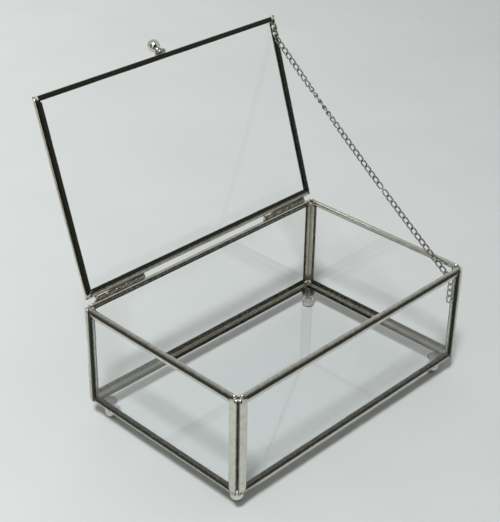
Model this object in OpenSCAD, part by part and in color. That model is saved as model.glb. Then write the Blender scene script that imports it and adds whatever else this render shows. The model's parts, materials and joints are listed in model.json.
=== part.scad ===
// Glass casket: six panes edged in soldered metal channel, a lid on two hinges,
// four turned feet, a turned knob and a stay chain inside the right-hand wall.
// The model stands on the plane z = 0, and its origin lies midway between the four feet.
// X runs to the right, Y to the back and Z up. The lid is drawn open, as far as its chain allows.

/* [Box] */
// Width over the side walls
box_w = 200; // [190:1:210]
// Depth over the front and back walls
box_d = 129; // [125:0.5:132]
// Height of the walls
wall_h = 66.5; // [64:0.5:70]

/* [Channel and glass] */
// Thickness of the channel across the pane
channel_t = 2.8; // [2.6:0.1:3]
// Width of the channel's face along the pane
channel_h = 4.6; // [4:0.1:5.2]
// Radius of the channel's two outer corners
channel_r = 1; // [0.8:0.05:1.1]
// Thickness of the glass
glass_t = 2; // [1.8:0.1:2.1]
// Thickness of the channel's outer web
channel_web = 1.1; // [0.9:0.1:1.4]
// Width of the channel under the bottom pane
base_face = 5.6; // [5:0.1:6]
// Set-back of the bottom pane from the walls' outer faces
bottom_inset = 1.6; // [1.2:0.1:1.8]

/* [Lid] */
// Width of the lid
lid_w = 196.4; // [196:0.2:197]
// Distance from the hinge axis to the lid's front edge
lid_reach = 125.8; // [125.4:0.1:126.2]
// Gap between the closed lid and the walls
lid_gap = 0.3; // [0.2:0.05:0.4]
// Angle of the lid as it is drawn, from closed
lid_open = 108; // [106:0.5:109]

/* [Hinges] */
// Length of one hinge
hinge_len = 38.5; // [34:0.5:42]
// Set-in of a hinge from the side wall's outer face
hinge_inset = 8.5; // [7:0.5:12]
// Outer radius of the hinge barrel
barrel_r = 1.3; // [1.2:0.05:1.35]
// Radius of the hinge pin
pin_r = 0.6; // [0.5:0.05:0.65]
// Thickness of a hinge leaf
leaf_t = 0.5; // [0.4:0.05:0.6]

/* [Feet and knob] */
// Radius of a foot's ball
foot_ball_r = 4.2; // [3.8:0.1:4.4]
// Radius of a foot's flared base
foot_base_r = 4.8; // [4.4:0.1:5]
// Height of a foot
foot_h = 11.2; // [10.8:0.1:12]
// Set-in of a foot from the walls' outer faces
foot_inset = 9.5; // [8.5:0.5:11]
// Radius of the knob's ball
knob_ball_r = 3.8; // [3.5:0.1:4.2]
// Radius of the knob's flared base
knob_base_r = 3.6; // [3.2:0.1:4]
// Tilt of the knob from straight out of the lid's front edge
knob_tilt = 44; // [38:1:50]

/* [Chain] */
// Radius of the chain's wire
wire_r = 0.45; // [0.4:0.05:0.45]
// Radius of a link's rounded ends, along the middle of the wire
link_r = 1.35; // [1.3:0.05:1.4]
// Gap between two linked wires
link_play = 0.07; // [0.05:0.01:0.1]
// Sag of the chain below a straight line
chain_sag = 2.6; // [1:0.1:4]
// Links soldered to the box below the chain's first free link
tail_links = 4; // [3:1:5]
// Links soldered to the lid beyond the chain's last free link
lid_links = 2; // [1:1:3]

/* [Hidden] */
$fn = 48;
// Clearance between the glass and the sides of its groove
groove_play = 0.05;
// Clearance between the glass and the floor of its groove
edge_play = 0.1;
// Radial clearance of a hinge pin
pin_play = 0.05;
// Gap between two knuckles of a hinge, and between a leaf and the other leaf's knuckles
knuckle_gap = 0.15;
knuckles = 5;
knuckle_len = hinge_len / knuckles;
// The walls meet inner edge to inner edge, which leaves an open notch down each corner.
wall_end = channel_t - 0.57 * channel_r;
wall_z = foot_h + channel_t;
rim_z = wall_z + wall_h;
front_y = -box_d / 2;
back_y = box_d / 2;
right_x = box_w / 2;
// The hinge barrel lies on the back wall's rim, its rear just behind the wall's outer face.
axis_y = back_y + leaf_t - barrel_r;
axis_z = rim_z + barrel_r + 0.1;
lid_under_z = rim_z + lid_gap;
lid_back_y = axis_y - barrel_r - 0.1 - leaf_t;
lid_front_y = axis_y - lid_reach;
lid_d = lid_back_y - lid_front_y;
// Chain: free links in segments of four, from the front right corner to the lid's right rail
segments = 11;
segment_links = 4;
// The first four segments hang from the box and the others from the lid. Where the two runs meet,
// the links stand end to end with a small gap instead of passing through each other.
box_segments = 4;
meeting_gap = 0.3;
chain_x = right_x - 6;
chain_foot = [front_y + 5.4, wall_z + 57.6];
chain_reach_on_lid = 111.5;
chain_below_lid = link_r + wire_r + 0.05;
chain_head = hinge_point(chain_reach_on_lid, lid_under_z - chain_below_lid - axis_z);
// Slopes of the chain's curve at its two ends, and how far they shift evenly spaced points
chain_span = chain_head - chain_foot;
cos_foot = cos(atan2(chain_span[1] - 4 * chain_sag, chain_span[0]));
cos_head = cos(atan2(chain_span[1] + 4 * chain_sag, chain_span[0]));
chain_skew = (cos_foot - cos_head) / (cos_foot + cos_head);
step_lengths = [for (n = [1 : segments]) norm(chain_point(n / segments) - chain_point((n - 1) / segments))];
chain_length = step_lengths * [for (n = step_lengths) 1];
meeting_room = 4 * wire_r + link_play + meeting_gap;
chain_pitch = (chain_length - meeting_room) / (segments * segment_links);
link_len = chain_pitch + 2 * wire_r + link_play;
link_colour = [0.52, 0.52, 0.47];
metal_colour = [0.62, 0.62, 0.57];
solder_colour = [0.74, 0.73, 0.66];
glass_colour = [0.78, 0.86, 0.84, 0.35];

// Position in the Y-Z plane of a point on the open lid: its distance from the hinge axis
// towards the lid's front edge, and its height above the axis when the lid is closed.
function hinge_point(reach, rise) = [
  axis_y - reach * cos(lid_open) + rise * sin(lid_open),
  axis_z + reach * sin(lid_open) + rise * cos(lid_open)
];

// Point on the chain's shallow parabola, at a share of its length from the foot
function chain_point(share) = let (s = share + chain_skew * share * (1 - share))
  chain_foot + s * chain_span - [0, 4 * chain_sag * s * (1 - s)];

// Pivot number n of the chain, one segment's length from the pivot before it
function chain_pivot(n) = chain_point(
  (n * segment_links * chain_pitch + (n < box_segments ? 0 : meeting_room)) / chain_length);

// Slope in the Y-Z plane of the chain segment that starts at pivot n
function segment_slope(n) = let (v = chain_pivot(n + 1) - chain_pivot(n)) atan2(v[1], v[0]);

// Turns a part drawn on the closed lid up to the lid's open angle.
module on_open_lid() {
  translate([0, axis_y, axis_z])
    rotate([-lid_open, 0, 0])
      translate([0, -axis_y, -axis_z])
        children();
}

// Cross-section of the channel: across the pane in X, in from the pane's edge in Y
module channel_section(face_h) {
  groove = glass_t + 2 * groove_play;
  difference() {
    union() {
      translate([channel_r, channel_r])
        circle(channel_r);
      translate([channel_t - channel_r, channel_r])
        circle(channel_r);
      translate([channel_r, 0])
        square([channel_t - 2 * channel_r, face_h]);
      translate([0, channel_r])
        square([channel_t, face_h - channel_r]);
    }
    translate([(channel_t - groove) / 2, channel_web])
      square([groove, face_h]);
  }
}

// One mitred strip along the lower edge of an upright pane that is w wide
module channel_strip(w, face_h) {
  intersection() {
    rotate([90, 0, 90])
      linear_extrude(w)
        channel_section(face_h);
    translate([0, channel_t + 1, 0])
      rotate([90, 0, 0])
        linear_extrude(channel_t + 2)
          polygon([[0, 0], [w, 0], [w - face_h, face_h], [face_h, face_h]]);
  }
}

// The strip on one edge of an upright pane, w wide and h high
module pane_edge(edge, w, h, face_h = channel_h) {
  color(metal_colour)
    if (edge == "bottom")
      channel_strip(w, face_h);
    else if (edge == "top")
      translate([0, 0, h])
        mirror([0, 0, 1])
          channel_strip(w, face_h);
    else if (edge == "left")
      mirror([1, 0, -1])
        channel_strip(h, face_h);
    else
      translate([w, 0, 0])
        mirror([1, 0, 0])
          mirror([1, 0, -1])
            channel_strip(h, face_h);
}

// The glass of an upright pane
module pane_glass(w, h) {
  edge = channel_web + edge_play;
  color(glass_colour)
    translate([edge, (channel_t - glass_t) / 2, edge])
      cube([w - 2 * edge, glass_t, h - 2 * edge]);
}

// Places for an upright pane: each wall, the flat bottom, and the lid
module at_front() {
  translate([-right_x + wall_end, front_y, wall_z])
    children();
}

module at_back() {
  translate([-right_x + wall_end, back_y, wall_z])
    mirror([0, 1, 0])
      children();
}

module at_left() {
  translate([-right_x, front_y + wall_end, wall_z])
    mirror([1, -1, 0])
      children();
}

module at_right() {
  translate([right_x, front_y + wall_end, wall_z])
    mirror([1, 0, 0])
      mirror([1, -1, 0])
        children();
}

module at_base() {
  translate([-right_x + bottom_inset, front_y + bottom_inset, foot_h])
    mirror([0, 1, -1])
      children();
}

module at_lid() {
  on_open_lid()
    translate([-lid_w / 2, lid_front_y, lid_under_z])
      mirror([0, 1, -1])
        children();
}

// Widths and depths of the panes over their channel
front_w = box_w - 2 * wall_end;
side_w = box_d - 2 * wall_end;
base_w = box_w - 2 * bottom_inset;
base_d = box_d - 2 * bottom_inset;

// Solder in the notch of one corner, in a drop at the rim and another at the foot of the walls
module corner_solder(x_side, y_side) {
  drop_r = 1.25;
  drop_at = 1.35;
  drop_len = channel_h - 1;
  drop_inset = 1.1;
  color(solder_colour)
    translate([x_side * right_x, y_side * back_y, 0])
      mirror([x_side > 0 ? 1 : 0, 0, 0])
        mirror([0, y_side > 0 ? 1 : 0, 0])
          difference() {
            for (z = [wall_z + drop_inset, rim_z - drop_inset - drop_len])
              translate([drop_at, drop_at, z]) {
                cylinder(r = drop_r, h = drop_len);
                sphere(drop_r + 0.02);
                translate([0, 0, drop_len])
                  sphere(drop_r + 0.02);
              }
            translate([wall_end, -1, 0])
              cube([channel_t + 2, channel_t + 1, rim_z + 1]);
            translate([-1, wall_end, 0])
              cube([channel_t + 1, channel_t + 2, rim_z + 1]);
          }
}

// A turned spindle standing on z = 0: flared base, waist, collar and ball
module turned_spindle(base_r, ball_r, ball_z) {
  rim_t = 0.14 * ball_z;
  waist_r = 0.4 * ball_r;
  collar_z = ball_z - 1.12 * ball_r;
  cylinder(r = base_r, h = rim_t);
  translate([0, 0, rim_t - 0.01])
    cylinder(r1 = 0.8 * base_r, r2 = waist_r + 0.3, h = 0.3 * ball_z);
  cylinder(r = waist_r, h = ball_z);
  translate([0, 0, collar_z])
    rotate_extrude()
      translate([waist_r + 0.15, 0])
        circle(0.55);
  translate([0, 0, ball_z])
    sphere(ball_r);
}

// One foot under the bottom channel, its ball flattened where it rests
module foot(x_side, y_side) {
  ball_flat = 0.2;
  color(metal_colour)
    translate([x_side * (right_x - foot_inset), y_side * (back_y - foot_inset), 0])
      difference() {
        translate([0, 0, foot_h])
          mirror([0, 0, 1])
            turned_spindle(foot_base_r, foot_ball_r, foot_h - foot_ball_r + ball_flat);
        translate([-5, -5, -5])
          cube([10, 10, 5]);
      }
}

// The knob on the middle of the lid's front edge, its base seated on the channel's outer corner
module knob() {
  seat_depth = 0.35;
  color(metal_colour)
    on_open_lid()
      difference() {
        translate([0, lid_front_y + 0.3, lid_under_z + channel_t + 0.2])
          rotate([90 - knob_tilt, 0, 0])
            translate([0, 0, -seat_depth])
              turned_spindle(knob_base_r, knob_ball_r, 7.2);
        translate([-8, lid_front_y, lid_under_z - 3])
          cube([16, 12, channel_t + 3]);
      }
}

// Centre positions of the two hinges' left ends
function hinge_x(side) = side < 0 ? -right_x + hinge_inset : right_x - hinge_inset - hinge_len;

// Bored barrel pieces numbered first, first + 2 and so on, along X from zero
module knuckle_row(first) {
  for (k = [first : 2 : knuckles - 1])
    translate([k * knuckle_len + knuckle_gap / 2, 0, 0])
      rotate([0, 90, 0])
        cylinder(r = barrel_r, h = knuckle_len - knuckle_gap);
}

// The bore through the knuckles
module pin_bore() {
  translate([-1, 0, 0])
    rotate([0, 90, 0])
      cylinder(r = pin_r + pin_play, h = hinge_len + 2);
}

// Leaf on the outside of the back wall, with the outer and the middle knuckles
module hinge_box_leaf(side) {
  plate_top = -barrel_r - knuckle_gap;
  plate_low = rim_z - channel_h - axis_z + 0.4;
  color(metal_colour)
    translate([hinge_x(side), axis_y, axis_z])
      difference() {
        union() {
          knuckle_row(0);
          translate([0, barrel_r - leaf_t, plate_low])
            cube([hinge_len, leaf_t, plate_top - plate_low]);
          for (k = [0 : 2 : knuckles - 1])
            translate([k * knuckle_len + knuckle_gap / 2, barrel_r - leaf_t, plate_top - 0.1])
              cube([knuckle_len - knuckle_gap, leaf_t, 0.1 - plate_top]);
        }
        pin_bore();
      }
}

// Leaf on the lid's back edge, with the two knuckles between the box leaf's
module hinge_lid_leaf(side) {
  leaf_low = lid_under_z - axis_z + 0.1;
  leaf_high = channel_t - 0.3;
  color(metal_colour)
    on_open_lid()
      translate([hinge_x(side), axis_y, axis_z])
        difference() {
          union() {
            knuckle_row(1);
            translate([0, -barrel_r - 0.1 - leaf_t, leaf_low])
              cube([hinge_len, leaf_t, leaf_high]);
            for (k = [1 : 2 : knuckles - 1])
              translate([k * knuckle_len + knuckle_gap / 2, -barrel_r - 0.2, -0.5])
                cube([knuckle_len - knuckle_gap, 0.7, 1]);
          }
          pin_bore();
        }
}

// Pin through all five knuckles, with a small head at each end
module hinge_pin(side) {
  head_t = 0.4;
  color(solder_colour)
    translate([hinge_x(side) - 0.05, axis_y, axis_z])
      rotate([0, 90, 0]) {
        cylinder(r = pin_r, h = hinge_len + 0.1);
        translate([0, 0, -head_t])
          cylinder(r = pin_r + 0.25, h = head_t);
        translate([0, 0, hinge_len + 0.1])
          cylinder(r = pin_r + 0.25, h = head_t);
      }
}

// Round wire from one point to another
module wire(p, q) {
  v = q - p;
  translate(p)
    rotate([0, acos(v[2] / norm(v)), atan2(v[1], v[0])])
      cylinder(r = wire_r, h = norm(v));
}

// Half ring of wire in the X-Z plane, its ends at z = 0
module wire_bend() {
  rotate([90, 0, 0])
    rotate_extrude(angle = 180)
      translate([link_r, 0])
        circle(wire_r);
}

// A curb link along Z: a long loop given a quarter turn from its first end to its second.
// The first bend's wire crosses X at z = 0, and the second bend's crosses Y at z = link_len.
module curb_link() {
  low = link_r;
  high = link_len - link_r;
  translate([0, 0, low])
    mirror([0, 0, 1])
      wire_bend();
  translate([0, 0, high])
    rotate([0, 0, 90])
      wire_bend();
  for (s = [-1, 1]) {
    start = [s * link_r, 0, low];
    finish = [0, -s * link_r, high];
    wire(start, finish);
    translate(start)
      sphere(wire_r + 0.02);
    translate(finish)
      sphere(wire_r + 0.02);
  }
}

// A run of links from a point in the Y-Z plane, sloping as given
module link_run(at, slope, count) {
  color(link_colour)
    translate([chain_x, at[0], at[1]])
      rotate([slope - 90, 0, 0])
        for (k = [0 : count - 1])
          translate([0, 0, k * chain_pitch])
            curb_link();
}

// Segment n of the free chain, counted from the box
module chain_segment(n) {
  link_run(chain_pivot(n - 1), segment_slope(n - 1), segment_links);
}

// Links soldered into the front right corner; the chain's first free link hangs in the top one.
module chain_box_end() {
  top = chain_foot[1] + 2 * wire_r + link_play;
  bottom = top - link_len - (tail_links - 1) * chain_pitch;
  link_run([chain_foot[0], bottom], 90, tail_links);
}

// Links soldered along the lid's right rail; the first one holds the chain's last free link.
module chain_lid_end() {
  on_open_lid()
    link_run([axis_y - chain_reach_on_lid, lid_under_z - chain_below_lid], 180, lid_links);
}

// Solder that holds the tail links in the corner between the front and right walls
module solder_chain_box() {
  rod_r = 1.15;
  rod_z = chain_foot[1] - tail_links * chain_pitch + 1;
  reach_in = channel_t + rod_r + 0.05;
  color(solder_colour)
    translate([right_x - reach_in, front_y + reach_in, rod_z]) {
      cylinder(r = rod_r, h = 0.6 * tail_links * chain_pitch);
      sphere(rod_r + 0.02);
      translate([0, 0, 0.6 * tail_links * chain_pitch])
        sphere(rod_r + 0.02);
    }
}

// Solder between the lid's right rail and the links on it
module solder_chain_lid() {
  bead_r = 0.9;
  color(solder_colour)
    on_open_lid()
      for (k = [0.7 : 1 : lid_links - 0.3])
        translate([chain_x, axis_y - chain_reach_on_lid - k * chain_pitch, lid_under_z - bead_r - 0.02])
          sphere(bead_r);
}

at_front() pane_glass(front_w, wall_h);  // glass_front
at_back() pane_glass(front_w, wall_h);  // glass_back
at_left() pane_glass(side_w, wall_h);  // glass_left
at_right() pane_glass(side_w, wall_h);  // glass_right
at_base() pane_glass(base_w, base_d);  // glass_bottom
at_lid() pane_glass(lid_w, lid_d);  // glass_lid

at_front() pane_edge("bottom", front_w, wall_h);  // channel_front_bottom
at_front() pane_edge("top", front_w, wall_h);  // channel_front_top
at_front() pane_edge("left", front_w, wall_h);  // channel_front_left
at_front() pane_edge("right", front_w, wall_h);  // channel_front_right
at_back() pane_edge("bottom", front_w, wall_h);  // channel_back_bottom
at_back() pane_edge("top", front_w, wall_h);  // channel_back_top
at_back() pane_edge("left", front_w, wall_h);  // channel_back_left
at_back() pane_edge("right", front_w, wall_h);  // channel_back_right
at_left() pane_edge("bottom", side_w, wall_h);  // channel_left_bottom
at_left() pane_edge("top", side_w, wall_h);  // channel_left_top
at_left() pane_edge("left", side_w, wall_h);  // channel_left_front
at_left() pane_edge("right", side_w, wall_h);  // channel_left_back
at_right() pane_edge("bottom", side_w, wall_h);  // channel_right_bottom
at_right() pane_edge("top", side_w, wall_h);  // channel_right_top
at_right() pane_edge("left", side_w, wall_h);  // channel_right_front
at_right() pane_edge("right", side_w, wall_h);  // channel_right_back
at_base() pane_edge("bottom", base_w, base_d, base_face);  // channel_base_front
at_base() pane_edge("top", base_w, base_d, base_face);  // channel_base_back
at_base() pane_edge("left", base_w, base_d, base_face);  // channel_base_left
at_base() pane_edge("right", base_w, base_d, base_face);  // channel_base_right
at_lid() pane_edge("bottom", lid_w, lid_d);  // channel_lid_front
at_lid() pane_edge("top", lid_w, lid_d);  // channel_lid_back
at_lid() pane_edge("left", lid_w, lid_d);  // channel_lid_left
at_lid() pane_edge("right", lid_w, lid_d);  // channel_lid_right

corner_solder(-1, -1);  // solder_front_left
corner_solder(1, -1);  // solder_front_right
corner_solder(-1, 1);  // solder_back_left
corner_solder(1, 1);  // solder_back_right

hinge_box_leaf(-1);  // hinge_left_box_leaf
hinge_lid_leaf(-1);  // hinge_left_lid_leaf
hinge_pin(-1);  // hinge_left_pin
hinge_box_leaf(1);  // hinge_right_box_leaf
hinge_lid_leaf(1);  // hinge_right_lid_leaf
hinge_pin(1);  // hinge_right_pin

foot(-1, -1);  // foot_front_left
foot(1, -1);  // foot_front_right
foot(-1, 1);  // foot_back_left
foot(1, 1);  // foot_back_right
knob();

chain_box_end();
chain_lid_end();
solder_chain_box();
solder_chain_lid();
chain_segment(1);  // chain_1
chain_segment(2);  // chain_2
chain_segment(3);  // chain_3
chain_segment(4);  // chain_4
chain_segment(5);  // chain_5
chain_segment(6);  // chain_6
chain_segment(7);  // chain_7
chain_segment(8);  // chain_8
chain_segment(9);  // chain_9
chain_segment(10);  // chain_10
chain_segment(11);  // chain_11
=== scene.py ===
# %% [markdown]
# A glass casket is a box of clear panes. Each pane is edged in a thin metal bead, and the
# panes are soldered together where their beads meet. The lid turns on two small hinges, and
# a stay chain keeps it from falling back. The construction is already solved in the frame
# that is loaded here, so this script only gives each part its true form and finish.

# %% Load the frame and keep its size
import bpy
import bmesh
import json
import math
from mathutils import Matrix, Vector, noise

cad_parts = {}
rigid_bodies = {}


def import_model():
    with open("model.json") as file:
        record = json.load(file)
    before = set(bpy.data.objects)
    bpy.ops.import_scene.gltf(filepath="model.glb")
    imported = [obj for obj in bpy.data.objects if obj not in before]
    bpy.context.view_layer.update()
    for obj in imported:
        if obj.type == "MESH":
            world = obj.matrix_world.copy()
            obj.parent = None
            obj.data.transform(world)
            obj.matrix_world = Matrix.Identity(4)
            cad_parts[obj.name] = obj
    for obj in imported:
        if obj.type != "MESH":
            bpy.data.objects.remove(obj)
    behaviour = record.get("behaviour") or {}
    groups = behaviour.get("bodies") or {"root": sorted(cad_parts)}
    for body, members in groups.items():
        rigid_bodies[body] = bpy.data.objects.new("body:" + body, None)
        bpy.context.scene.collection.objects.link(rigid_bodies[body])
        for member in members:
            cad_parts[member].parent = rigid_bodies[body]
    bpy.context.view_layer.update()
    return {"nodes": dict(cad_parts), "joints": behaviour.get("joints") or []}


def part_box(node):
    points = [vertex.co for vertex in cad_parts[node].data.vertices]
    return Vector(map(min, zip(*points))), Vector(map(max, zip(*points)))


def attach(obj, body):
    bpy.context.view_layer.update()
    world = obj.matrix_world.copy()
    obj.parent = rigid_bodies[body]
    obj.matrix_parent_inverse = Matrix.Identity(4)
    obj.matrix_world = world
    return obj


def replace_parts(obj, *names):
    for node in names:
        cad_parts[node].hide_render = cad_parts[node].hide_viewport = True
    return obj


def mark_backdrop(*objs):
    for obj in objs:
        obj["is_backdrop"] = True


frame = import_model()
NODES = frame["nodes"]

# %% [markdown]
# The sizes that the making needs are read off the frame rather than typed again: where the
# rim is, how thick a bead is, where the hinge line runs. A few sizes that the frame doesn't
# hold, such as the thickness of the chain's wire, are named where they are first needed.

# %% Measures taken from the frame
MM = 0.001


def node_box(name):
    """Lowest and highest corner of one part of the frame."""
    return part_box(name)


rim_z = node_box("channel_front_top")[1].z
bead_thick = node_box("channel_front_top")[1].y - node_box("channel_front_top")[0].y
glass_thick = node_box("glass_front")[1].y - node_box("glass_front")[0].y
foot_height = node_box("channel_base_front")[0].z

hinge = next(j for j in frame["joints"] if j["name"] == "lid_hinge")
hinge_point = Vector(hinge["pos_m"])
lid_swing = math.radians(hinge["range_deg"][1])
print("rim at", round(rim_z * 1000, 1), "mm, bead", round(bead_thick * 1000, 2), "mm thick")

# %% [markdown]
# The lid is easiest to shape while it lies flat and shut. Everything on it is made there and
# then swung up about the hinge line, just as the real lid is. `shut` and `opened` are the two
# turns, and each is the other's reverse.

# %% Turn a thing between the shut lid and the open one
def about_hinge(angle):
    """A turn about the hinge line, which runs along X."""
    return (Matrix.Translation(hinge_point)
            @ Matrix.Rotation(angle, 4, "X")
            @ Matrix.Translation(-hinge_point))


shut = about_hinge(lid_swing)
opened = about_hinge(-lid_swing)
print("lid swings", round(math.degrees(lid_swing)), "degrees")


def flat_box(names, turn=None):
    """The box round several parts of the frame, after a turn if one is given."""
    low = Vector((1e9, 1e9, 1e9))
    high = -low
    for name in names:
        for v in NODES[name].data.vertices:
            p = turn @ v.co if turn else v.co
            low = Vector(map(min, low, p))
            high = Vector(map(max, high, p))
    return low, high


# %% [markdown]
# Blender keeps a mesh as corner points and faces. `make_mesh` turns lists of both into an
# object with smooth shading. `skin` stretches faces over a row of rings, as a cover goes over
# hoops. `lathe` spins an outline round an axis, which is how a turned foot or knob is really
# made.

# %% Helpers that make meshes
def make_mesh(name, points, faces, smooth=True):
    """An object from corner points and faces."""
    data = bpy.data.meshes.new(name)
    data.from_pydata([tuple(p) for p in points], [], faces)
    data.validate()
    data.polygons.foreach_set("use_smooth", [smooth] * len(data.polygons))
    obj = bpy.data.objects.new(name, data)
    bpy.context.scene.collection.objects.link(obj)
    return obj


def skin(rings, closed_along=False):
    """Faces between neighbouring rings of points, each ring a closed loop."""
    count = len(rings[0])
    points = [p for ring in rings for p in ring]
    faces = []
    last = len(rings) if closed_along else len(rings) - 1
    for i in range(last):
        a = i * count
        b = ((i + 1) % len(rings)) * count
        for k in range(count):
            n = (k + 1) % count
            faces.append((a + k, a + n, b + n, b + k))
    if not closed_along:
        faces.append(tuple(reversed(range(count))))
        faces.append(tuple((len(rings) - 1) * count + k for k in range(count)))
    return points, faces


def lathe(outline, around):
    """Points and faces of an outline of (radius, height) pairs spun about Z."""
    turns = [2 * math.pi * k / around for k in range(around)]
    rings = [[Vector((r * math.cos(t), r * math.sin(t), z)) for t in turns] for r, z in outline]
    return skin(rings)


def join_parts(parts):
    """One list of points and one of faces from several."""
    points, faces = [], []
    for p, f in parts:
        start = len(points)
        points += p
        faces += [tuple(i + start for i in face) for face in f]
    return points, faces


def moved(part, matrix):
    """A part's points after a move or a turn."""
    points, faces = part
    return [matrix @ p for p in points], faces


# %% [markdown]
# A finish is a small web of nodes. A few helpers keep that web short to write: they add a
# node and feed its inputs, each from another node's output or with a plain value. An effect
# that several finishes share becomes a group, with named inputs and outputs.

# %% Helpers that wire up a finish
FLOAT = "NodeSocketFloat"
COLOUR = "NodeSocketColor"


def feed(tree, node, inputs):
    """Feeds a node's inputs, each from an output or with a plain value."""
    for key, value in inputs.items():
        if isinstance(value, bpy.types.NodeSocket):
            tree.links.new(value, node.inputs[key])
        else:
            node.inputs[key].default_value = value
    return node


def add_node(tree, kind, inputs=None, operation=None):
    """A new shader node with its inputs fed."""
    node = tree.nodes.new("ShaderNode" + kind)
    if operation:
        node.operation = operation
    return feed(tree, node, inputs or {})


def add_math(tree, operation, *values):
    """The result of one step of arithmetic."""
    return add_node(tree, "Math", dict(enumerate(values)), operation).outputs[0]


def add_noise(tree, where, inputs):
    """A cloudy value that changes over the surface."""
    return add_node(tree, "TexNoise", {"Vector": where, **inputs}).outputs["Fac"]


def mix_colours(tree, factor, first, second):
    """A colour between two others."""
    mix = tree.nodes.new("ShaderNodeMix")
    mix.data_type = "RGBA"
    return feed(tree, mix, {"Factor": factor, "A": first, "B": second}).outputs["Result"]


def add_dents(tree, height, strength, depth):
    """Turns a cloudy value into shallow dents."""
    inputs = {"Height": height, "Strength": strength, "Distance": depth}
    return add_node(tree, "Bump", inputs).outputs["Normal"]


def new_group(name, inputs, outputs):
    """An empty effect, whose inputs are numbers or colours, as their first values are."""
    group = bpy.data.node_groups.new(name, "ShaderNodeTree")
    for label, value in inputs.items():
        kind = FLOAT if isinstance(value, float) else COLOUR
        made = group.interface.new_socket(name=label, in_out="INPUT", socket_type=kind)
        made.default_value = value
    for label, kind in outputs.items():
        group.interface.new_socket(name=label, in_out="OUTPUT", socket_type=kind)
    given = group.nodes.new("NodeGroupInput").outputs
    return group, given, group.nodes.new("NodeGroupOutput")


def use_group(tree, group, inputs):
    """Places a shared effect in a material and gives its outputs."""
    node = tree.nodes.new("ShaderNodeGroup")
    node.node_tree = group
    return feed(tree, node, inputs).outputs


def new_material(name):
    """A material, its tree and its main shader."""
    mat = bpy.data.materials.new(name)
    mat.use_nodes = True
    return mat, mat.node_tree, mat.node_tree.nodes["Principled BSDF"]


# %% [markdown]
# The look of the metal comes from what it mirrors: a pale cloth below and a dim room above.
# The finish itself is a soft silver that has dulled a little. One node group gives every
# metal here its mottled tarnish, and each material places it with its own strength, so the
# chain, the beads and the solder are related but not the same.

# %% A shared effect: tarnish on soft white metal
FINE_GRAIN = 1500
DULLED_BY_TARNISH = 0.22
DULLED_BY_GRAIN = 0.08


def build_tarnish_group():
    """Mottled dulling: a colour, a roughness and a height that change over the surface."""
    inputs = {"Clean colour": (0.6, 0.6, 0.54, 1), "Tarnished colour": (0.2, 0.19, 0.15, 1),
              "Amount": 0.35, "Polish": 0.2, "Patch size": 220.0}
    outputs = {"Colour": COLOUR, "Roughness": FLOAT, "Height": FLOAT}
    tree, given, result = new_group("Tarnish", inputs, outputs)
    where = add_node(tree, "TexCoord").outputs["Object"]
    patches = add_noise(tree, where, {"Scale": given["Patch size"], "Detail": 5, "Roughness": 0.6})
    spread = add_node(tree, "MapRange", {"Value": patches, "From Min": 0.42, "From Max": 0.68})
    dose = add_math(tree, "MULTIPLY", spread.outputs["Result"], given["Amount"])
    fine = add_noise(tree, where, {"Scale": FINE_GRAIN, "Detail": 3})
    dull = add_math(tree, "MULTIPLY_ADD", dose, DULLED_BY_TARNISH, given["Polish"])
    feed(tree, result, {
        "Colour": mix_colours(tree, dose, given["Clean colour"], given["Tarnished colour"]),
        "Roughness": add_math(tree, "MULTIPLY_ADD", fine, DULLED_BY_GRAIN, dull),
        "Height": patches,
    })
    return tree


TARNISH = build_tarnish_group()
print("group", TARNISH.name, "has", len(TARNISH.nodes), "nodes")

# %% [markdown]
# Patina is the darker skin that stays where nobody polishes: along the glass and in hollows.
# Here the same dark also paints shade and the dark room's reflection: the crease in each
# corner, the dark bands along the beads and the base of each turned foot. The beads are made
# here, so each point of a bead can carry how much patina and painted shade it has. That
# number travels as the second coordinate of the bead's UV map, and this group turns it into
# darker, rougher metal with a ragged edge.

# %% A shared effect: lines of patina and painted shade from the UV map
RAGGED_GRAIN = 420
PATINA_AND_SHADE_GAIN = 1.05
DULLED_BY_PATINA = 0.15


def build_patina_and_shade_group():
    """Darkens and dulls a metal where the UV map's second coordinate is high."""
    inputs = {"Colour": (0.6, 0.6, 0.54, 1), "Roughness": 0.2,
              "Patina and shade colour": (0.07, 0.07, 0.055, 1), "Raggedness": 0.45}
    # the group is named for patina, but its dark colour also paints shade and reflections
    tree, given, result = new_group("Patina", inputs, {"Colour": COLOUR, "Roughness": FLOAT})
    where = add_node(tree, "TexCoord").outputs
    written = add_node(tree, "SeparateXYZ", {"Vector": where["UV"]}).outputs["Y"]
    ragged = add_noise(tree, where["Object"], {"Scale": RAGGED_GRAIN, "Detail": 4})
    centred = add_math(tree, "SUBTRACT", ragged, 0.5)
    shifted = add_math(tree, "MULTIPLY_ADD", centred, given["Raggedness"], written)
    mask = add_math(tree, "MULTIPLY", shifted, PATINA_AND_SHADE_GAIN)
    mask.node.use_clamp = True
    feed(tree, result, {
        "Colour": mix_colours(tree, mask, given["Colour"], given["Patina and shade colour"]),
        "Roughness": add_math(tree, "MULTIPLY_ADD", mask, DULLED_BY_PATINA, given["Roughness"]),
    })
    return tree


PATINA_AND_SHADE = build_patina_and_shade_group()
print("group", PATINA_AND_SHADE.name, "has", len(PATINA_AND_SHADE.nodes), "nodes")

# %% [markdown]
# All the metal of the box is one family, so one function makes each member of it. The beads
# are dulled silver with lines of patina and painted shade. The solder is brighter and less
# smooth. The seam in a corner is blackened, partly as painted shade in the crease, the chain is
# grey wire, and the hinges are the most tarnished.

# %% Metals made from the shared effects
DENT_DEPTH = 0.2 * MM


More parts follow.
